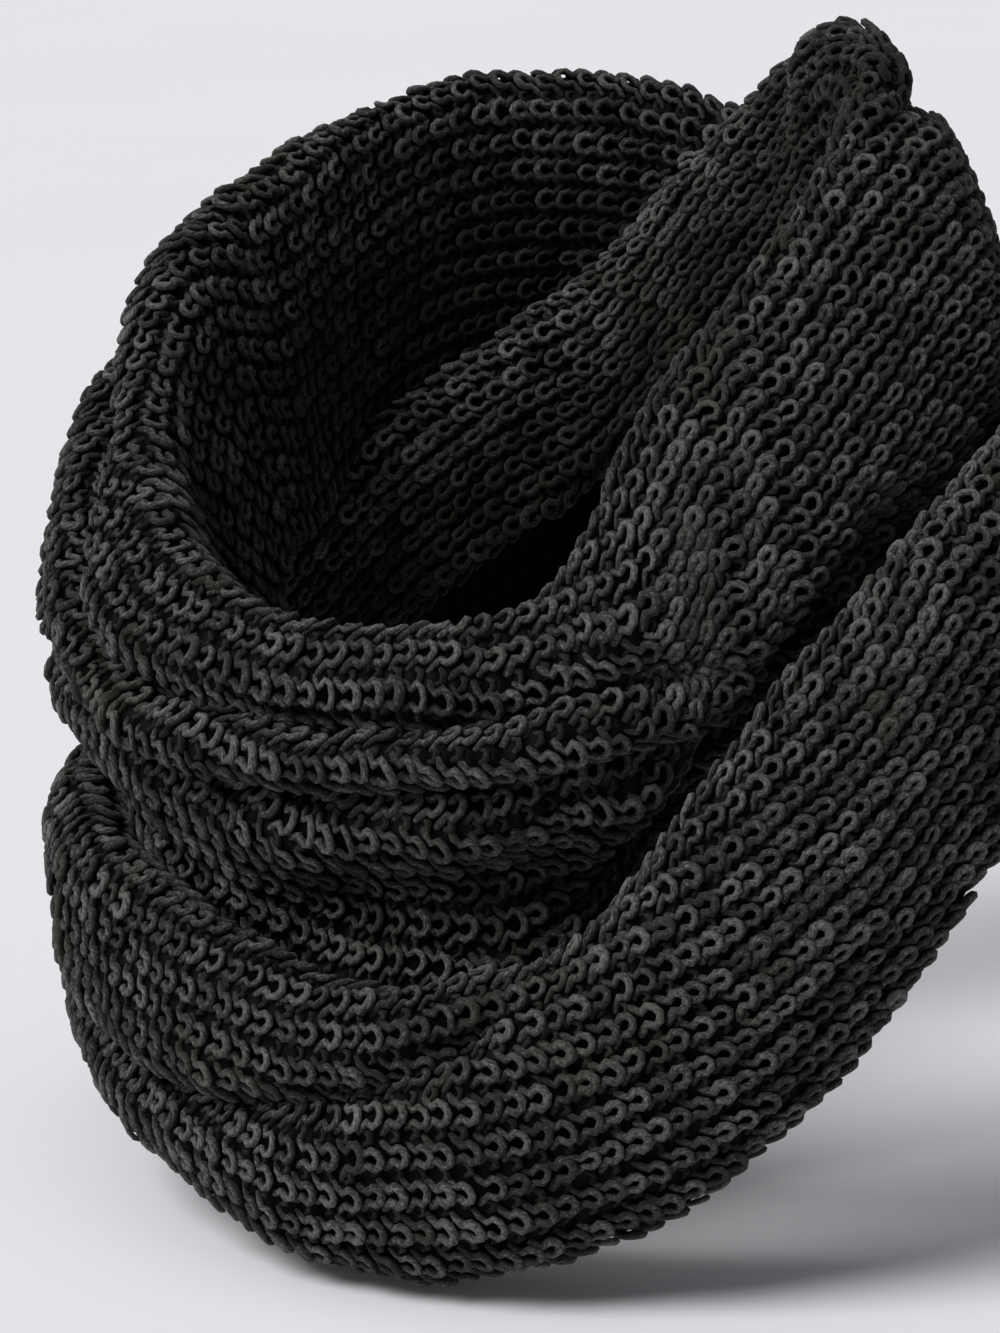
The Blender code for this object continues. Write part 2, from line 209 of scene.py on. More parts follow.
@dataclass(frozen=True)
class BandShape:
    """The wound band's form: sections between the table's rows, with the folds pressed in."""

    rib_pitch: float = 7.8
    rib_count: int = 24
    turn_up: float = 4.0
    turns: float = 720.0
    points: int = 241
    soften: float = 4.4
    fade: float = 26.0
    row_step: float = 1.5
    edge_take: float = 1.0
    foot_fade: float = 12.0
    spare_rows: int = 6
    fineness: int = 4
    curve_steps: int = 40
    bend_points: int = 9
    rim_outside: tuple[float, float] = (0.9, 0.6)
    rim_inside: tuple[float, float] = (0.85, 0.5)
    spread: tuple[tuple[float, float], ...] = (
        (0, 0.05), (60, 0.0), (110, 0.0), (180, 0.0), (290, 0.05), (340, 0.15),
        (385, 0.34), (430, 0.36), (500, 0.15), (600, 0.0), (690, 0.05),
    )
    slip: tuple[tuple[float, float], ...] = (
        (0, 0.06), (22, 0.08), (45, 0.03), (85, -0.085), (112, -0.11), (150, -0.06),
        (200, 0.0), (660, 0.0), (700, 0.03),
    )
    waves: tuple[tuple[float, float, float, float], ...] = (
        (0.50, 13.0, 11.0, 0.4), (0.45, 29.0, -17.0, 2.1),
        (0.35, 53.0, 23.0, 4.0), (0.25, 97.0, -37.0, 1.3),
    )

    # Makes the slip's curve reach 1, at two thirds of the width.
    SLIP_SCALE: ClassVar[float] = 6.75

    @property
    def width(self) -> float:
        """Width of the band laid flat, millimetres."""
        return self.rib_pitch * self.rib_count

    def places(self, turns: np.ndarray, ribs: np.ndarray) -> np.ndarray:
        """Places across the band of rib lines, which lie wider apart where the cloth is spread
        and slip over the rim where it fans out over the shoulder.

        Args:
            turns: turns, degrees.
            ribs: rib numbers with a fraction, counted from the outer edge.

        Returns:
            Places from 0 to 1, a row for each turn and a column for each rib line.
        """
        amount, slip = (np.interp(turns, *np.array(table).T, period=self.turns)[:, None]
                        for table in (self.spread, self.slip))
        share = (ribs / self.rib_count)[None, :]
        slipped = slip * self.SLIP_SCALE * share ** 2 * (1 - share)
        return share + amount * share * (1 - share) + slipped

    def _column(self, values: np.ndarray, stations: np.ndarray, turn: np.ndarray) -> np.ndarray:
        """Smooth curve through a table column, which repeats after both turns.

        Args:
            values: the column.
            stations: the turn of each row.
            turn: turns at which the column is wanted.

        Returns:
            The column's value at each wanted turn.
        """
        turns = np.concatenate([stations[-2:] - self.turns, stations, stations[:3] + self.turns])
        heights = np.concatenate([values[-2:], values, values[:3]])
        gaps = np.diff(turns)
        rises = np.diff(heights) / gaps
        slopes = (gaps[1:] * rises[:-1] + gaps[:-1] * rises[1:]) / (gaps[1:] + gaps[:-1])
        slopes = np.concatenate([[rises[0]], slopes, [rises[-1]]])
        turn = np.mod(turn - stations[0], self.turns) + stations[0]
        k = np.searchsorted(turns, turn, side="right") - 1
        span = turns[k + 1] - turns[k]
        u = (turn - turns[k]) / span
        start = (1 + 2 * u) * (1 - u) ** 2 * heights[k] + u * (1 - u) ** 2 * span * slopes[k]
        end = u * u * (3 - 2 * u) * heights[k + 1] + u * u * (u - 1) * span * slopes[k + 1]
        return start + end

    def sections_at(self, turn: np.ndarray) -> np.ndarray:
        """Rows of the section table at any turns.

        Args:
            turn: the wanted turns, degrees.

        Returns:
            One row for each turn, with the table's columns after the turn.
        """
        table = np.array(SECTIONS, float)
        return np.column_stack([self._column(column, table[:, 0], turn)
                                for column in table.T[1:]])

    @staticmethod
    def _even(line: np.ndarray, count: int) -> np.ndarray:
        """The same line with points at even distances along it.

        Args:
            line: its points.
            count: how many points are wanted.

        Returns:
            The evenly spaced points.
        """
        along = distances(line)
        wanted = np.linspace(0, along[-1], count)
        return np.column_stack([np.interp(wanted, along, column) for column in line.T])

    def _smooth_line(self, points: np.ndarray) -> np.ndarray:
        """Centripetal Catmull-Rom line through the points, in even steps.

        Args:
            points: the points to pass through, in a section's plane.

        Returns:
            The line, cut into even steps.
        """
        points = np.vstack([2 * points[0] - points[1], points, 2 * points[-1] - points[-2]])
        chords = np.linalg.norm(np.diff(points, axis=0), axis=1)
        knots = np.concatenate([[0], np.cumsum(np.sqrt(chords))])
        pieces = []
        for i in range(1, len(points) - 2):
            t = np.linspace(knots[i], knots[i + 1], self.curve_steps, endpoint=False)[:, None]
            k0, k1, k2, k3 = knots[i - 1:i + 3]
            p0, p1, p2, p3 = points[i - 1:i + 3]
            a1 = (k1 - t) / (k1 - k0) * p0 + (t - k0) / (k1 - k0) * p1
            a2 = (k2 - t) / (k2 - k1) * p1 + (t - k1) / (k2 - k1) * p2
            a3 = (k3 - t) / (k3 - k2) * p2 + (t - k2) / (k3 - k2) * p3
            b1 = (k2 - t) / (k2 - k0) * a1 + (t - k0) / (k2 - k0) * a2
            b2 = (k3 - t) / (k3 - k1) * a2 + (t - k1) / (k3 - k1) * a3
            pieces.append((k2 - t) / (k2 - k1) * b1 + (t - k1) / (k2 - k1) * b2)
        return self._even(np.vstack(pieces + [points[-2:-1]]), self.points)

    def _flap(self, s: Section) -> np.ndarray:
        """Inner flap from the rim's inner side down, and up again inside the roll.

        Args:
            s: the section.

        Returns:
            The flap's corner points, in the section's plane.
        """
        lean = math.radians(s.lean)
        down = np.array([-math.sin(lean), -math.cos(lean)])
        out = np.array([math.cos(lean), -math.sin(lean)])
        top = np.array([s.rim_r - s.roll, s.rim_z - s.roll])
        start = top + down * (s.drop - s.roll)
        centre = start + out * self.turn_up
        bend = [centre - out * self.turn_up * math.cos(a) + down * self.turn_up * math.sin(a)
                for a in np.linspace(0, math.pi, self.bend_points)]
        return np.vstack([top, bend, start + out * 2 * self.turn_up - down * self.width])

    @staticmethod
    def _soften(line: np.ndarray, reach: float) -> np.ndarray:
        """The line with its corners rounded, its two ends kept.

        Args:
            line: evenly spaced points.
            reach: how far from a corner the rounding starts, millimetres.

        Returns:
            The rounded line, with as many points.
        """
        half = max(1, int(reach / np.linalg.norm(line[1] - line[0])))
        before = 2 * line[0] - line[half:0:-1]
        after = 2 * line[-1] - line[-2:-half - 2:-1]
        padded = np.vstack([before, line, after])
        weights = np.hanning(2 * half + 3)[1:-1]
        weights /= weights.sum()
        return np.column_stack([np.convolve(column, weights, mode="valid")
                                for column in padded.T])

    @staticmethod
    def _smooth_value(values: tuple[float, ...], share: float) -> float:
        """Value of a smooth curve through evenly spaced values.

        Args:
            values: the values to pass through.
            share: place along the curve, from 0 to 1.

        Returns:
            The curve's value there.
        """
        place = min(1.0, max(0.0, share)) * (len(values) - 1)
        k = min(int(place), len(values) - 2)
        u = place - k
        rise_in = (values[k + 1] - values[max(k - 1, 0)]) / 2
        rise_out = (values[min(k + 2, len(values) - 1)] - values[k]) / 2
        return ((1 + 2 * u) * (1 - u) ** 2 * values[k] + u * (1 - u) ** 2 * rise_in
                + u * u * (3 - 2 * u) * values[k + 1] + u * u * (u - 1) * rise_out)

    def _fold_at(self, fold: Fold, turn: float) -> tuple[float, float]:
        """How strong a fold is at a turn, and how high it lies.

        Args:
            fold: the fold.
            turn: the section's turn, degrees.

        Returns:
            The strength, from 0 to 1, and the height in millimetres.
        """
        middle = (fold.first + fold.last) / 2
        turn = (turn - middle + self.turns / 2) % self.turns + middle - self.turns / 2
        half = (fold.last - fold.first) / 2
        inside = min(1.0, max(0.0, (half - abs(turn - middle)) / self.fade))
        height = self._smooth_value(fold.heights, (turn - fold.first) / (fold.last - fold.first))
        return inside * inside * (3 - 2 * inside), height

    def line_at(self, turn: float, columns: np.ndarray) -> np.ndarray:
        """Middle line of the cloth at a turn, from the outer edge over the rim inwards.

        Args:
            turn: the section's turn, degrees.
            columns: the section's row of the table there.

        Returns:
            Points (radius, height) at even distances across the band, millimetres.
        """
        s = Section(turn, *columns)
        outer = self._smooth_line(np.array([
            (s.foot_r - s.edge_in, s.foot_z - s.edge_down),
            (s.foot_r, s.foot_z),
            (s.belly_r, s.belly_z),
            (s.rim_r + self.rim_outside[0] * s.roll, s.rim_z - self.rim_outside[1] * s.roll),
            (s.rim_r, s.rim_z),
            (s.rim_r - self.rim_inside[0] * s.roll, s.rim_z - self.rim_inside[1] * s.roll),
        ]))
        reach = np.linalg.norm(np.diff(outer, axis=0), axis=1).sum()
        whole = np.vstack([outer, self._flap(s)])
        line = self._soften(self._even(whole, self.fineness * self.points), self.soften)
        along = distances(line)
        top = int(np.argmax(np.where(along < reach, line[:, 1], -np.inf)))
        tangent = np.gradient(line, axis=0)
        tangent /= np.linalg.norm(tangent, axis=1)[:, None]
        inward = np.column_stack([-tangent[:, 1], tangent[:, 0]])
        # Below the foot the push of a fold turns level, so that the edge keeps its height.
        inward[:top, 1] *= np.clip((line[:top, 1] - s.foot_z) / self.foot_fade + 1, 0, 1)
        moved = line.copy()
        for fold in FOLDS:
            strength, height = self._fold_at(fold, turn)
            if strength > 0:
                below = float(np.interp(height, line[:top + 1, 1], along[:top + 1]))
                away = (along - below - max(0.0, height - line[top, 1])) / fold.width
                dip = strength * np.exp(-away ** 2)
                moved += inward * (fold.depth * dip)[:, None]
                moved -= tangent * (fold.pinch * away * dip)[:, None]
        return self._even(moved[along <= self.width - self.edge_take], self.points)

    def surface(self, first: float, last: float) -> "Surface":
        """The band's middle surface from one turn to another.

        Args:
            first: turn at which it starts, degrees.
            last: turn at which it ends.

        Returns:
            The surface, with a few rows to spare beyond both ends.
        """
        spare = self.spare_rows * self.row_step
        turns = np.arange(first - spare, last + spare + TINY, self.row_step)
        rows = []
        for turn, columns in zip(turns, self.sections_at(turns)):
            radius, height = self.line_at(turn, columns).T
            angle = math.radians(turn)
            rows.append(np.column_stack(
                [radius * math.sin(angle), -radius * math.cos(angle), height]))
        surface = Surface(turns, np.array(rows), self)
        angle = np.radians(turns)[:, None]
        place = np.linspace(0, 1, self.points)[None, :]
        lift = sum(size * np.sin(around * angle / 2 + across * place + start)
                   for size, around, across, start in self.waves)
        return Surface(turns, surface.points + surface.normal * lift[:, :, None], self)


class Surface:
    """A grid of points on the cloth's middle: rows by turn, columns across the band."""

    EDGE_GAP: ClassVar[float] = 0.001

    def __init__(self, turns: np.ndarray, points: np.ndarray, shape: BandShape) -> None:
        """Keep the grid and work out its directions.

        Args:
            turns: the turn of each row, degrees.
            points: rows x columns x 3, millimetres.
            shape: the band that the surface is cut from.
        """
        self.turns = turns
        self.points = points
        self.shape = shape
        normal = np.cross(np.gradient(points, axis=0), np.gradient(points, axis=1))
        self.normal = normal / np.linalg.norm(normal, axis=2)[:, :, None]

    def rib_place(self, rib: float) -> np.ndarray:
        """Place across the band of a rib line, for each row."""
        return self.shape.places(self.turns, np.array([rib]))[:, 0]

    def rib_room(self, rib: int) -> np.ndarray:
        """Width of a rib against an even one, for each row."""
        edges = self.shape.places(self.turns, np.array([rib, rib + 1.0]))
        return (edges[:, 1] - edges[:, 0]) * self.shape.rib_count

    def row(self, turn: np.ndarray) -> np.ndarray:
        """Row number, with a fraction, of each turn."""
        return (turn - self.turns[0]) / (self.turns[1] - self.turns[0])

    def sample(self, grid: np.ndarray, row: np.ndarray, place: np.ndarray) -> np.ndarray:
        """Value of a grid between its points.

        Args:
            grid: rows x columns x 3.
            row: row numbers with a fraction.
            place: places across the band, from 0 to 1.

        Returns:
            The value at each row and place.
        """
        last_row, last_column = grid.shape[0] - 1, grid.shape[1] - 1
        row = np.clip(row, 0, last_row - self.EDGE_GAP)
        column = np.clip(place * last_column, 0, last_column - self.EDGE_GAP)
        i, j = row.astype(int), column.astype(int)
        a, b = (row - i)[..., None], (column - j)[..., None]
        return ((1 - a) * (1 - b) * grid[i, j] + a * (1 - b) * grid[i + 1, j]
                + (1 - a) * b * grid[i, j + 1] + a * b * grid[i + 1, j + 1])


class MeshMaker:
    """Turns arrays of points and faces into one smooth mesh object."""

    @staticmethod
    def build(name: str, points: np.ndarray, quads: np.ndarray, facts: dict[str, np.ndarray],
              material: bpy.types.Material) -> bpy.types.Object:
        """Make the object.

        Args:
            name: its name.
            points: n x 3, millimetres.
            quads: m x 4 point numbers.
            facts: values of each point that the material reads, by name.
            material: its finish.

        Returns:
            The linked object.
        """
        mesh = bpy.data.meshes.new(name)
        mesh.vertices.add(len(points))
        mesh.vertices.foreach_set("co", (points * MM).ravel())
        mesh.loops.add(quads.size)
        mesh.loops.foreach_set("vertex_index", quads.ravel())
        mesh.polygons.add(len(quads))
        mesh.polygons.foreach_set("loop_start", np.arange(0, quads.size, 4))
        mesh.update(calc_edges=True)
        mesh.shade_smooth()
        for key, values in facts.items():
            layer = mesh.attributes.new(key, "FLOAT", "POINT")
            layer.data.foreach_set("value", values.astype(np.float32).ravel())
        mesh.materials.append(material)
        mesh.validate()
        made = bpy.data.objects.new(name, mesh)
        bpy.context.scene.collection.objects.link(made)
        return made


class NodeSketch:
    """A few helpers that keep a material's node making short."""

    MIX_SHARE: ClassVar[int] = 0
    MIX_FIRST: ClassVar[int] = 6
    MIX_SECOND: ClassVar[int] = 7
    MIX_RESULT: ClassVar[int] = 2

    def __init__(self, name: str) -> None:
        """Start a material with its main shader.

        Args:
            name: the material's name.
        """
        self.material = bpy.data.materials.new(name)
        self.material.use_nodes = True
        self.tree = self.material.node_tree
        self.shader = self.tree.nodes["Principled BSDF"]

    def node(self, kind: str, **settings: object) -> bpy.types.Node:
        """Add a node and set its properties.

        Args:
            kind: its type's name.
            **settings: the properties.

        Returns:
            The node.
        """
        made = self.tree.nodes.new(kind)
        for key, value in settings.items():
            setattr(made, key, value)
        return made

    def link(self, source: Socket, target: Socket) -> None:
        """Join two sockets."""
        self.tree.links.new(source, target)

    def fact(self, name: str) -> Socket:
        """Value of a mesh attribute."""
        return self.node("ShaderNodeAttribute", attribute_name=name).outputs["Fac"]

    def math(self, operation: str, first: Socket | float, second: Socket | float = 0.0) -> Socket:
        """Result of a sum on sockets or numbers.

        Args:
            operation: the sum's name.
            first: its first value.
            second: its second value, where it takes one.

        Returns:
            The result.
        """
        made = self.node("ShaderNodeMath", operation=operation)
        for socket, value in zip(made.inputs, (first, second)):
            if isinstance(value, Socket):
                self.link(value, socket)
            else:
                socket.default_value = value
        return made.outputs[0]

    def weighted(self, *terms: tuple[Socket, float]) -> Socket:
        """Sum of values, each times its weight.

        Args:
            *terms: pairs of value and weight.

        Returns:
            The sum.
        """
        total = self.math("MULTIPLY", *terms[0])
        for value, weight in terms[1:]:
            total = self.math("ADD", total, self.math("MULTIPLY", value, weight))
        return total

    def noise(self, scale: float, detail: float, rough: float = 0.55,
              place: Socket | None = None) -> Socket:
        """Noise at a place, or in object space.

        Args:
            scale: its scale.
            detail: its detail.
            rough: its roughness.
            place: the place it is read at.

        Returns:
            The noise's value.
        """
        made = self.node("ShaderNodeTexNoise")
        made.inputs["Scale"].default_value = scale
        made.inputs["Detail"].default_value = detail
        made.inputs["Roughness"].default_value = rough
        place = place or self.node("ShaderNodeTexCoord").outputs["Object"]
        self.link(place, made.inputs["Vector"])
        return made.outputs["Fac"]

    def place(self, *values: Socket) -> Socket:
        """A place from three values.

        Args:
            *values: the three values.

        Returns:
            The place.
        """
        made = self.node("ShaderNodeCombineXYZ")
        for value, socket in zip(values, made.inputs):
            self.link(value, socket)
        return made.outputs[0]

    def ramp(self, value: Socket, *stops: tuple[float, Colour]) -> Socket:
        """Colour at a value.

        Args:
            value: the value to look up.
            *stops: pairs of place and colour.

        Returns:
            The colour.
        """
        made = self.node("ShaderNodeValToRGB")
        while len(made.color_ramp.elements) < len(stops):
            made.color_ramp.elements.new(0.5)
        for element, (place, colour) in zip(made.color_ramp.elements, stops):
            element.position = place
            element.color = (*colour, 1.0)
        self.link(value, made.inputs["Fac"])
        return made.outputs["Color"]

    def tinted(self, share: Socket, colour: Socket, tint: Colour) -> Socket:
        """A colour with some of a plain tint mixed in.

        Args:
            share: how much of the tint there is, from 0 to 1.
            colour: the colour below.
            tint: the tint.

        Returns:
            The mixed colour.
        """
        made = self.node("ShaderNodeMix", data_type="RGBA")
        self.link(share, made.inputs[self.MIX_SHARE])
        self.link(colour, made.inputs[self.MIX_FIRST])
        made.inputs[self.MIX_SECOND].default_value = (*tint, 1.0)
        return made.outputs[self.MIX_RESULT]

    def bump(self, height: Socket, distance: float, strength: float) -> None:
        """Fine relief on the main shader.

        Args:
            height: the relief's height.
            distance: how high it stands.
            strength: how much of it shows.
        """
        made = self.node("ShaderNodeBump")
        made.inputs["Distance"].default_value = distance
        made.inputs["Strength"].default_value = strength
        self.link(height, made.inputs["Height"])
        self.link(made.outputs["Normal"], self.shader.inputs["Normal"])


class Grain(NamedTuple):
    """Scale, detail and roughness of a noise."""

    scale: float
    detail: float
    rough: float


class Tint(NamedTuple):
    """A faint patchy tint: its colour, the scale of its patches, the noise values between which
    it comes in, and how much of it there is at most."""

    colour: Colour
    scale: float
    start: float
    full: float
    share: float


class Marl(NamedTuple):
    """How much each cause lightens the yarn: marl, and painted shade in around, lift and tone."""

    streak: float = 0.34
    fibre: float = 0.44
    ply: float = 0.06
    patch: float = 0.12
    # tone: random tone of each stitch, less the painted shade of bars and of ribs inside the neck.
    tone: float = 0.12
    # around: painted shade, each yarn lighter on its outer side and darker on the side toward the
    # cloth.
    around: float = 0.16
    # lift: painted shade, the yarn darker where it lies low near the cloth.
    lift: float = 0.04


class Relief(NamedTuple):
    """Height of the yarn's fine relief in metres, and what each part adds to it."""

    height: float = 0.0007
    ply: float = 0.3
    streak: float = 0.8
    fibre: float = 0.9


@dataclass(frozen=True)
class YarnFinish:
    """Marled charcoal wool yarn: twisted plies, lighter fibres, a few faint tints, and painted
    shade.
    """

    name: str = "marled_yarn"
    dark: Colour = (0.0055, 0.0055, 0.0057)
    middle: Colour = (0.033, 0.033, 0.033)
    light: Colour = (0.180, 0.180, 0.172)
    stops: tuple[float, float, float] = (0.56, 0.71, 0.88)
    tints: tuple[Tint, ...] = (
        Tint((0.040, 0.038, 0.016), 48.0, 0.54, 0.68, 0.26),
        Tint((0.030, 0.026, 0.044), 71.0, 0.58, 0.72, 0.24),
    )
    twist: float = 0.55
    plies: float = 3.0
    strand_stretch: tuple[float, float, float] = (0.55, 3.2, 31.0)
    streak: Grain = Grain(1.6, 3.0, 0.65)
    fibre: Grain = Grain(950.0, 3.0, 0.7)
    patch: Grain = Grain(62.0, 2.0, 0.5)
    roughness: float = 0.90
    specular: float = 0.10
    sheen: float = 0.06
    sheen_roughness: float = 0.5
    marl: Marl = Marl()
    relief: Relief = Relief()

    def make(self) -> bpy.types.Material:
        """Build the material.

        Returns:
            The yarn's material.
        """
        s = NodeSketch(self.name)
        run, around, tone = s.fact("yarn_run"), s.fact("yarn_round"), s.fact("tone")
        turn = s.weighted((run, self.twist), (around, self.plies))
        ply = s.math("ABSOLUTE", s.math("SINE", s.math("MULTIPLY", turn, math.pi)))
        strands = s.place(*(s.math("MULTIPLY", value, stretch)
                            for value, stretch in zip((run, turn, tone), self.strand_stretch)))
        streak = s.noise(*self.streak, strands)
        fibre = s.noise(*self.fibre)
        # around, lift and the painted part of tone paint shade into the colour; the rest is the
        # yarn's marl.
        causes = (streak, fibre, ply, s.noise(*self.patch), tone, around, s.fact("lift"))
        value = s.weighted(*zip(causes, self.marl))
        colour = s.ramp(value, *zip(self.stops, (self.dark, self.middle, self.light)))
        for tint in self.tints:
            patches = s.ramp(s.noise(tint.scale, 1.0), (tint.start, BLACK), (tint.full, WHITE))
            colour = s.tinted(s.math("MULTIPLY", patches, tint.share), colour, tint.colour)
        s.link(colour, s.shader.inputs["Base Color"])
        s.shader.inputs["Roughness"].default_value = self.roughness
        s.shader.inputs["Specular IOR Level"].default_value = self.specular
        s.shader.inputs["Sheen Weight"].default_value = self.sheen
        s.shader.inputs["Sheen Roughness"].default_value = self.sheen_roughness
        height, *parts = self.relief
        s.bump(s.weighted(*zip((ply, streak, fibre), parts)), height, 1.0)
        return s.material


@dataclass(frozen=True)
class BackingFinish:
    """The purl ground between the ribs and the plain inside, coloured near black as painted shade,
    darker than the yarn on top.
    """

    name: str = "purl_ground_painted_shade"
    # Both colours are near black: painted shade deep under the stitches and inside the band.
    dark: Colour = (0.0014, 0.0014, 0.0015)
    light: Colour = (0.0080, 0.0080, 0.0083)
    stops: tuple[float, float] = (0.30, 0.85)
    course: float = 5.8
    groove_share: float = 1.4
    loop_weight: float = 0.13
    fibre_weight: float = 0.6
    fibre: Grain = Grain(1300.0, 3.0, 0.65)
    roughness: float = 0.93
    specular: float = 0.04
    relief: float = 0.0012
    relief_strength: float = 0.9

    def make(self) -> bpy.types.Material:
        """Build the material.

        Returns:
            The backing's material.
        """
        s = NodeSketch(self.name)
        run, across = s.fact("band_run"), s.fact("band_across")
        bar = s.math("SINE", s.math("MULTIPLY", run, 2 * math.pi / self.course))
        rib = s.math("COSINE", s.math("MULTIPLY", across, 2 * math.pi))
        loops = s.math("MULTIPLY", s.math("ADD", bar, 1.0), s.math("ADD", rib, self.groove_share))
        value = s.weighted((loops, self.loop_weight), (s.noise(*self.fibre), self.fibre_weight))
        colour = s.ramp(value, *zip(self.stops, (self.dark, self.light)))
        s.link(colour, s.shader.inputs["Base Color"])
        s.shader.inputs["Roughness"].default_value = self.roughness
        s.shader.inputs["Specular IOR Level"].default_value = self.specular
        s.bump(value, self.relief, self.relief_strength)
        return s.material


@dataclass(frozen=True)
class FloorFinish:
    """Plain pale studio floor."""

    name: str = "studio_floor"
    colour: Colour = (0.86, 0.85, 0.88)
    dimmed: float = 0.985
    stops: tuple[float, float] = (0.3, 0.7)
    roughness: float = 0.75

    def make(self) -> bpy.types.Material:
        """Build the material.

        Returns:
            The floor's material.
        """
        s = NodeSketch(self.name)
        dim = tuple(self.dimmed * part for part in self.colour)
        tone = s.ramp(s.noise(3.0, 2.0), *zip(self.stops, (dim, self.colour)))
        s.link(tone, s.shader.inputs["Base Color"])
        s.shader.inputs["Roughness"].default_value = self.roughness
        return s.material


@dataclass(frozen=True)
class Stitch:
    """One knit stitch: a loop of yarn with a round head, a narrow waist and feet that spread
    into the grooves, and the bar of yarn that crosses the groove beside it."""

    pitch: float = 5.8
    yarn: float = 1.02
    sides: int = 5
    half: tuple[tuple[float, float, float], ...] = (
        (-1.3, 3.30, -0.60),
        (-0.1, 2.15, 0.15),
        (1.4, 1.22, 0.85),
        (3.2, 2.10, 1.40),
        (4.7, 1.40, 1.75),
        (5.4, 0.0, 1.85),
    )
    bar: tuple[tuple[float, float, float], ...] = (
        (0.7, 2.30, -0.60),
        (2.4, 3.20, -0.10),
        (2.4, 4.60, -0.10),
        (0.7, 5.50, -0.60),
    )
    bar_yarn: float = 0.84
    end_taper: float = 0.75
    shift: tuple[float, float, float] = (0.32, 0.22, 0.22)
    width_spread: float = 0.11
    skew_spread: float = 0.11
    skew_centre: float = 2.0
    thickness_spread: float = 0.12
    width_limits: tuple[float, float] = (0.75, 1.12)
    yarn_limits: tuple[float, float] = (0.9, 1.06)

    SLANT_STEP: ClassVar[float] = 0.01

    def path(self) -> np.ndarray:
        """Middle of the yarn round the whole loop.

        Returns:
            Points (along, across, up), millimetres.
        """
        left = np.array([(u, -v, h) for u, v, h in self.half])
        right = np.array(self.half)[-2::-1]
        return np.vstack([left, right])

    def lay(self, surface: Surface, rib: int, path: np.ndarray, yarn: float, first: float,
            last: float, rng: np.random.Generator) -> tuple[np.ndarray, ...]:
        """Lay one stretch of yarn again and again along a rib.

        Args:
            surface: the cloth's middle.
            rib: number of the rib, from the outer edge.
            path: points (along, across, up) of the yarn in one stitch, millimetres.
            yarn: the yarn's radius, millimetres.
            first: turn where the stretch starts.
            last: turn where it ends.
            rng: source of the small unevenness.

        Returns:
            Centre points (stitches x path x 3), up directions, and yarn radii.
        """
        rows = np.arange(len(surface.turns), dtype=float)
        centre_place = surface.rib_place(rib + 0.5)
        line = surface.sample(surface.points, rows, centre_place)
        run = distances(line)
        ahead = np.gradient(line, axis=0)
        beside = surface.sample(surface.points, rows, centre_place - self.SLANT_STEP) - line
        sizes = np.linalg.norm(ahead, axis=1) * np.linalg.norm(beside, axis=1)
        slant = (ahead * beside).sum(axis=1) / sizes
        start, end = np.interp(surface.row(np.array([first, last])), rows, run)
        count = max(1, round((end - start) / self.pitch))
        pitch = (end - start) / count
        bases = start + pitch * np.arange(count)
        shift = rng.normal(0, 1, (count, 1, 3)) * self.shift
        skew = rng.normal(0, self.skew_spread, (count, 1))
        widen = 1 + rng.normal(0, self.width_spread, (count, 1))
        u = path[None, :, 0] * (pitch / self.pitch) + shift[:, :, 0]
        v = path[None, :, 1] * widen + shift[:, :, 1] + skew * (path[None, :, 0] - self.skew_centre)
        h = path[None, :, 2] + shift[:, :, 2]
        rooms = surface.rib_room(rib)
        v = v * np.clip(np.interp(bases, run, rooms), *self.width_limits)[:, None]
        u = u - v * np.interp(bases, run, slant)[:, None]
        row = np.interp(bases[:, None] + u, run, rows)
        room = np.interp(row, rows, rooms)
        place = np.interp(row, rows, centre_place) - v / surface.shape.width
        centre = surface.sample(surface.points, row, place)
        up = surface.sample(surface.normal, row, place)
        up /= np.linalg.norm(up, axis=2)[:, :, None]
        centre = centre + up * h[:, :, None]
        thickness = 1 + rng.normal(0, self.thickness_spread, (count, 1))
        radius = yarn * thickness * np.clip(room, *self.yarn_limits)
        taper = np.ones(len(path))
        taper[[0, -1]] = self.end_taper
        return centre, up, radius * taper


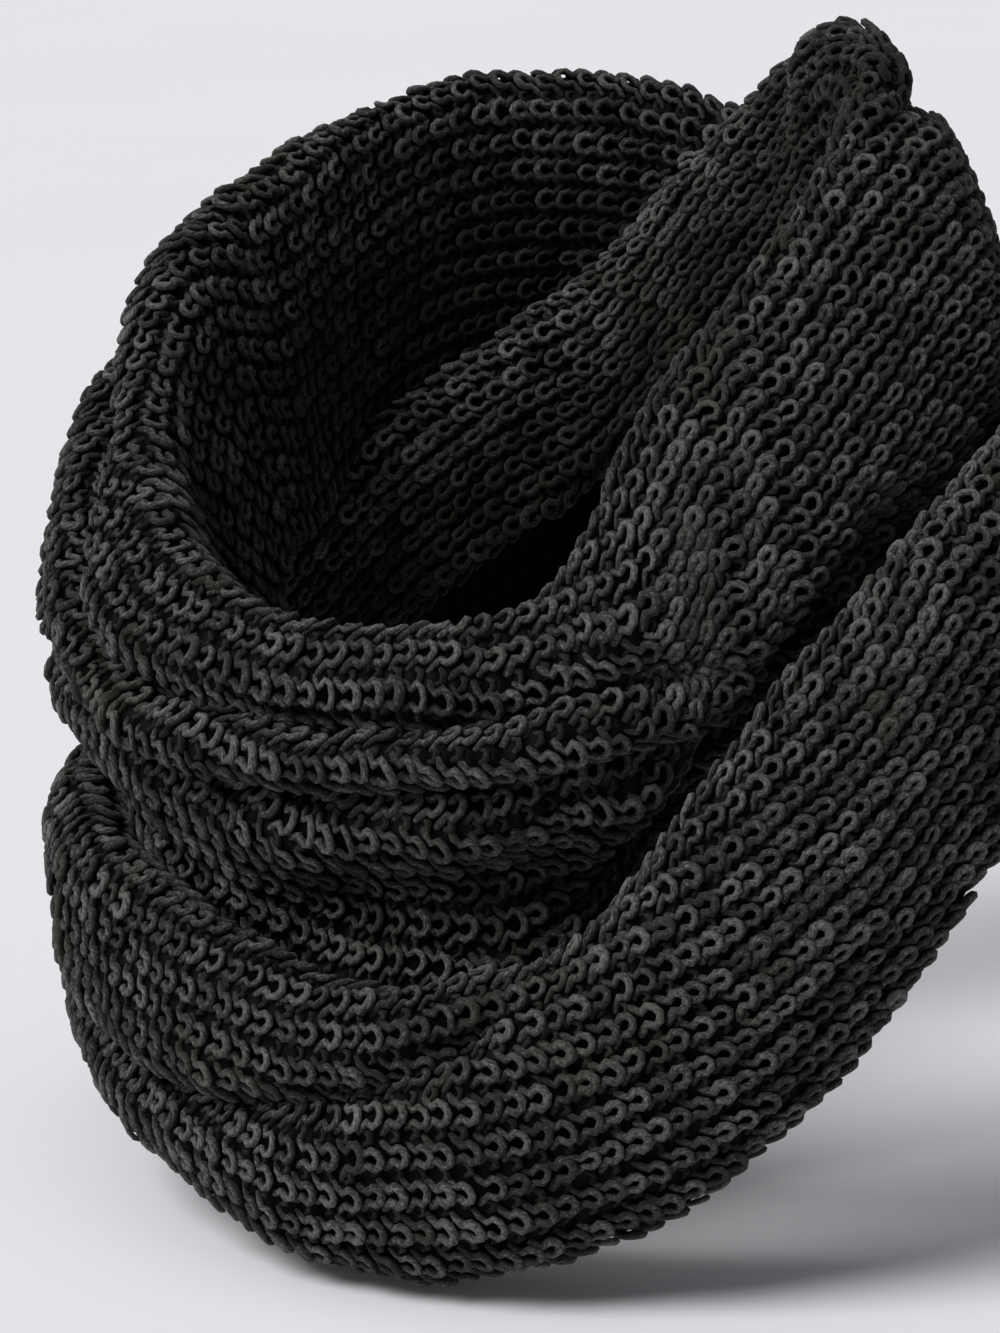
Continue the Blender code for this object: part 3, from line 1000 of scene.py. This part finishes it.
@dataclass
class KnitStretch:
    """One stretch of the wound band: backing cloth and two pieces of yarn stitches."""

    node: str
    first: float
    last: float
    rests_on: tuple[str, ...]
    shape: BandShape
    stitch: Stitch
    yarn: bpy.types.Material
    ground: bpy.types.Material
    made: list[bpy.types.Object] = field(default_factory=list)

    SEAM: ClassVar[float] = 0.04
    STEPS: ClassVar[int] = 90
    PER_RIB: ClassVar[int] = 4
    GROUND_OUT: ClassVar[float] = 0.3
    GROUND_IN: ClassVar[float] = 1.7
    RIB_WAVE: ClassVar[float] = 0.8
    INNER_WAVE: ClassVar[float] = 0.3
    FACE_EXTRA_RIBS: ClassVar[int] = 2
    # The flap's ribs from FLAP_FROM on get painted shade: their colour is made darker, fading in
    # over FLAP_FADE ribs.
    FLAP_PAINTED_SHADE: ClassVar[float] = 1.1
    FLAP_FROM: ClassVar[int] = 15
    FLAP_FADE: ClassVar[int] = 3
    # Painted shade of the bars, which lie down in the grooves: their colour is made this much
    # darker.
    BAR_PAINTED_SHADE: ClassVar[float] = 0.80
    TWIST_START: ClassVar[float] = 8.0

    def backing(self, surface: Surface) -> bpy.types.Object:
        """Thin closed cloth on the solid's form, ribbed on both sides.

        Args:
            surface: the cloth's middle.

        Returns:
            The backing piece.
        """
        steps, columns = self.STEPS, self.shape.rib_count * self.PER_RIB + 1
        turns = np.linspace(self.first + self.SEAM, self.last - self.SEAM, steps + 1)
        ribs = np.linspace(0, self.shape.rib_count, columns)
        place = self.shape.places(turns, ribs)
        row = np.repeat(surface.row(turns)[:, None], columns, axis=1)
        middle = surface.sample(surface.points, row, place)
        normal = surface.sample(surface.normal, row, place)
        sunk = (1 + np.cos(2 * math.pi * ribs))[None, :, None] / 2
        outside = middle + normal * (self.GROUND_OUT - self.RIB_WAVE * sunk)
        inside = middle - normal * (self.GROUND_IN - self.RIB_WAVE * self.INNER_WAVE * sunk)
        rings = np.concatenate([outside, inside[:, ::-1]], axis=1)
        size = rings.shape[1]
        runs = np.repeat(distances(middle[:, columns // 4])[:, None], size, axis=1)
        across = np.repeat(np.concatenate([ribs, ribs[::-1]])[None, :], steps + 1, axis=0)
        i, j = np.meshgrid(np.arange(steps), np.arange(size), indexing="ij")
        k = (j + 1) % size
        here, ahead = i * size, (i + 1) * size
        quads = np.stack([here + j, ahead + j, ahead + k, here + k], axis=-1).reshape(-1, 4)
        ends = []
        for base, flip in ((0, True), (steps * size, False)):
            a = base + np.arange(columns - 1)
            b = base + size - 1 - np.arange(columns - 1)
            face = np.stack([a, a + 1, b - 1, b], axis=-1)
            ends.append(face[:, ::-1] if flip else face)
        quads = np.vstack([quads, *ends])
        return MeshMaker.build(f"{self.node}_backing", rings.reshape(-1, 3), quads[:, ::-1],
                               {"band_run": runs, "band_across": across}, self.ground)

    def stitches(self, surface: Surface, side: Side, ribs: range, seed: int) -> bpy.types.Object:
        """Yarn stitches on some of the ribs, as one mesh of tubes.

        Args:
            surface: the cloth's middle.
            side: which half of the band this is.
            ribs: the ribs to cover.
            seed: start of the random unevenness.

        Returns:
            The yarn piece.
        """
        rng = np.random.default_rng(seed)
        loops = self.tubes(surface, ribs, self.stitch.path(), self.stitch.yarn, 0.0, rng)
        grooves = range(max(1, ribs.start), ribs.stop)
        # The bars lie in the grooves and are coloured darker as painted shade.
        bars = self.tubes(surface, grooves, np.array(self.stitch.bar), self.stitch.bar_yarn,
                          self.BAR_PAINTED_SHADE, rng)
        points = np.vstack([loops[0], bars[0]])
        quads = np.vstack([loops[1], bars[1] + len(loops[0])])
        facts = {name: np.concatenate([loops[2][name], bars[2][name]]) for name in loops[2]}
        return MeshMaker.build(f"{self.node}_{side.value}_yarn", points, quads, facts, self.yarn)

    def painted_inner_shade(self, rib: int) -> float:
        """Painted shade of a rib that lies inside the neck: how much darker its colour is made
        there.
        """
        return self.FLAP_PAINTED_SHADE * min(1.0, max(0.0, (rib - self.FLAP_FROM) / self.FLAP_FADE))

    def tubes(self, surface: Surface, ribs: range, path: np.ndarray, yarn: float, shade: float,
              rng: np.random.Generator) -> tuple[np.ndarray, np.ndarray, dict[str, np.ndarray]]:
        """Tubes of yarn along one path of every stitch.

        Args:
            surface: the cloth's middle.
            ribs: the ribs to cover.
            path: points (along, across, up) of the yarn in one stitch.
            yarn: the yarn's radius, millimetres.
            shade: painted shade, how much darker this yarn is coloured than the loops of the outer
                side.
            rng: source of the small unevenness.

        Returns:
            Points, quads, and the facts that the finish reads.
        """
        laid = [self.stitch.lay(surface, rib, path, yarn, self.first, self.last, rng)
                for rib in ribs]
        centre, up, radius = (np.vstack(parts) for parts in zip(*laid))
        # Painted shade of each stitch, that of the bars and that inside the neck, taken off its
        # random tone below.
        dim = np.concatenate([np.full(len(part[0]), shade + self.painted_inner_shade(rib))
                              for rib, part in zip(ribs, laid)])
        count, length, sides = centre.shape[0], centre.shape[1], self.stitch.sides
        ahead = np.gradient(centre, axis=1)
        ahead /= np.linalg.norm(ahead, axis=2)[:, :, None]
        lift = up - (up * ahead).sum(axis=2)[:, :, None] * ahead
        lift /= np.linalg.norm(lift, axis=2)[:, :, None]
        beside = np.cross(ahead, lift)
        angle = np.linspace(0, 2 * math.pi, sides, endpoint=False)
        ring = (lift[:, :, None] * np.cos(angle)[None, None, :, None]
                + beside[:, :, None] * np.sin(angle)[None, None, :, None])
        points = centre[:, :, None] + ring * radius[:, :, None, None]
        grid = np.arange(count * length * sides).reshape(count, length, sides)
        nxt = np.roll(grid, -1, axis=2)
        quads = np.stack([grid[:, :-1], grid[:, 1:], nxt[:, 1:], nxt[:, :-1]], axis=-1)
        start = rng.uniform(0, self.TWIST_START, count)
        shapes = {
            "yarn_run": (start[:, None] + distances(path)[None, :])[:, :, None],
            # yarn_round is 1 on the yarn's outer side and 0 toward the cloth; it sets the plies and
            # the painted shade of each yarn.
            "yarn_round": (np.abs(np.arange(sides) / sides - 0.5) * 2)[None, None, :],
            "tone": (rng.random(count) - dim)[:, None, None],
            # lift, the height above the cloth, paints the yarn darker low down as painted shade.
            "lift": path[:, 2][None, :, None],
        }
        facts = {name: np.broadcast_to(values, grid.shape).reshape(-1)
                 for name, values in shapes.items()}
        return points.reshape(-1, 3), quads.reshape(-1, 4), facts

    def build(self) -> None:
        surface = self.shape.surface(self.first, self.last)
        count = self.shape.rib_count
        half = count // 2 + self.FACE_EXTRA_RIBS
        backing = self.backing(surface)
        face = self.stitches(surface, Side.FACE, range(0, half), seed=int(self.last) + 1)
        flap = self.stitches(surface, Side.FLAP, range(half, count), seed=int(self.last) + 2)
        self.made = [backing, face, flap]
        for piece in self.made:
            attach(piece, "root")
        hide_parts(self.node)


class Lamp(NamedTuple):
    """A far, soft light: where it comes from, how wide it looks in degrees, and its strength."""

    name: str
    place: tuple[float, float, float]
    softness: float
    strength: float


@dataclass(frozen=True)
class Studio:
    """Floor, lights and camera."""

    floor_drop: float = 0.0015
    floor_size: float = 8.0
    floor_cells: int = 24
    lamps: tuple[Lamp, ...] = (
        Lamp("key", (-0.62, -1.0, 1.2), 32.0, 2.8),
        Lamp("top", (-0.3, -0.2, 1.9), 60.0, 0.45),
    )
    surround: Colour = (0.95, 0.94, 1.0)
    surround_strength: float = 0.20
    azimuth: float = 27.0
    elevation: float = 12.0
    distance: float = 1.3
    focal_px: float = 5200.0
    frame_px: tuple[float, float] = (1000.0, 1333.0)
    axis_px: tuple[float, float] = (560.0, 515.0)
    sensor: float = 36.0

    def floor(self) -> None:
        """A wide plane just under the object."""
        low = CAD_BOX[0][2] - self.floor_drop
        half = self.floor_size / 2
        steps = np.linspace(-half, half, self.floor_cells + 1) / MM
        x, y = np.meshgrid(steps, steps, indexing="ij")
        points = np.stack([x, y, np.full(x.shape, low / MM)], axis=-1).reshape(-1, 3)
        grid = np.arange(x.size).reshape(x.shape)
        quads = np.stack([grid[:-1, :-1], grid[1:, :-1], grid[1:, 1:], grid[:-1, 1:]], axis=-1)
        MeshMaker.build("studio_floor", points, quads.reshape(-1, 4), {},
                                 FloorFinish().make())

    @staticmethod
    def light(lamp: Lamp) -> None:
        """Hang a light that faces the object.

        Args:
            lamp: the light.
        """
        sun = bpy.data.lights.new(lamp.name, "SUN")
        sun.angle = math.radians(lamp.softness)
        sun.energy = lamp.strength
        hung = bpy.data.objects.new(lamp.name, sun)
        hung.location = lamp.place
        hung.rotation_euler = Vector(lamp.place).to_track_quat("Z", "Y").to_euler()
        bpy.context.scene.collection.objects.link(hung)

    def lights(self) -> None:
        """Soft key and top lights, and a pale surround."""
        world = bpy.data.worlds.new("surround")
        world.use_nodes = True
        background = world.node_tree.nodes["Background"]
        background.inputs["Color"].default_value = (*self.surround, 1.0)
        background.inputs["Strength"].default_value = self.surround_strength
        bpy.context.scene.world = world
        bpy.context.scene.view_settings.view_transform = "Standard"
        for lamp in self.lamps:
            self.light(lamp)

    def camera(self) -> None:
        """Camera on the viewing angle, aimed so that the neck's axis lies where it should."""
        lens = bpy.data.cameras.new("camera")
        lens.sensor_fit = "HORIZONTAL"
        lens.sensor_width = self.sensor
        lens.lens = self.focal_px / self.frame_px[0] * self.sensor
        a, e = math.radians(self.azimuth), math.radians(self.elevation)
        away = Vector((math.sin(a) * math.cos(e), -math.cos(a) * math.cos(e), math.sin(e)))
        turn = (-away).to_track_quat("-Z", "Y")
        right = self.frame_px[0] / 2 - self.axis_px[0]
        down = self.frame_px[1] / 2 - self.axis_px[1]
        aim = turn @ Vector((right, -down, -self.focal_px)).normalized()
        eye = bpy.data.objects.new("camera", lens)
        eye.location = away * self.distance
        eye.rotation_euler = aim.to_track_quat("-Z", "Y").to_euler()
        bpy.context.scene.collection.objects.link(eye)
        bpy.context.scene.camera = eye

    def build(self) -> None:
        """Set the stage."""
        self.floor()
        self.lights()
        self.camera()


STRETCHES: tuple[tuple[str, float, float, tuple[str, ...]], ...] = (
    ("front_upper", -90.0, 90.0, ("front_lower",)),
    ("back_inner", 90.0, 270.0, ("front_upper",)),
    ("front_lower", 270.0, 450.0, ("back_inner",)),
    ("back_outer", 450.0, 630.0, ("back_inner",)),
)


def main() -> None:
    """Build the stage, then each stretch of the band in order."""
    logging.basicConfig(level=logging.INFO, format="%(name)s: %(message)s")
    Studio().build()
    shape, stitch = BandShape(), Stitch()
    yarn, ground = YarnFinish().make(), BackingFinish().make()
    for node, first, last, rests_on in STRETCHES:
        stretch = KnitStretch(node, first, last, rests_on, shape, stitch, yarn, ground)
        stretch.build()
        for piece in stretch.made:
            LOG.info("%s: %d faces", piece.name, len(piece.data.polygons))


if __name__ == "__main__":
    main()
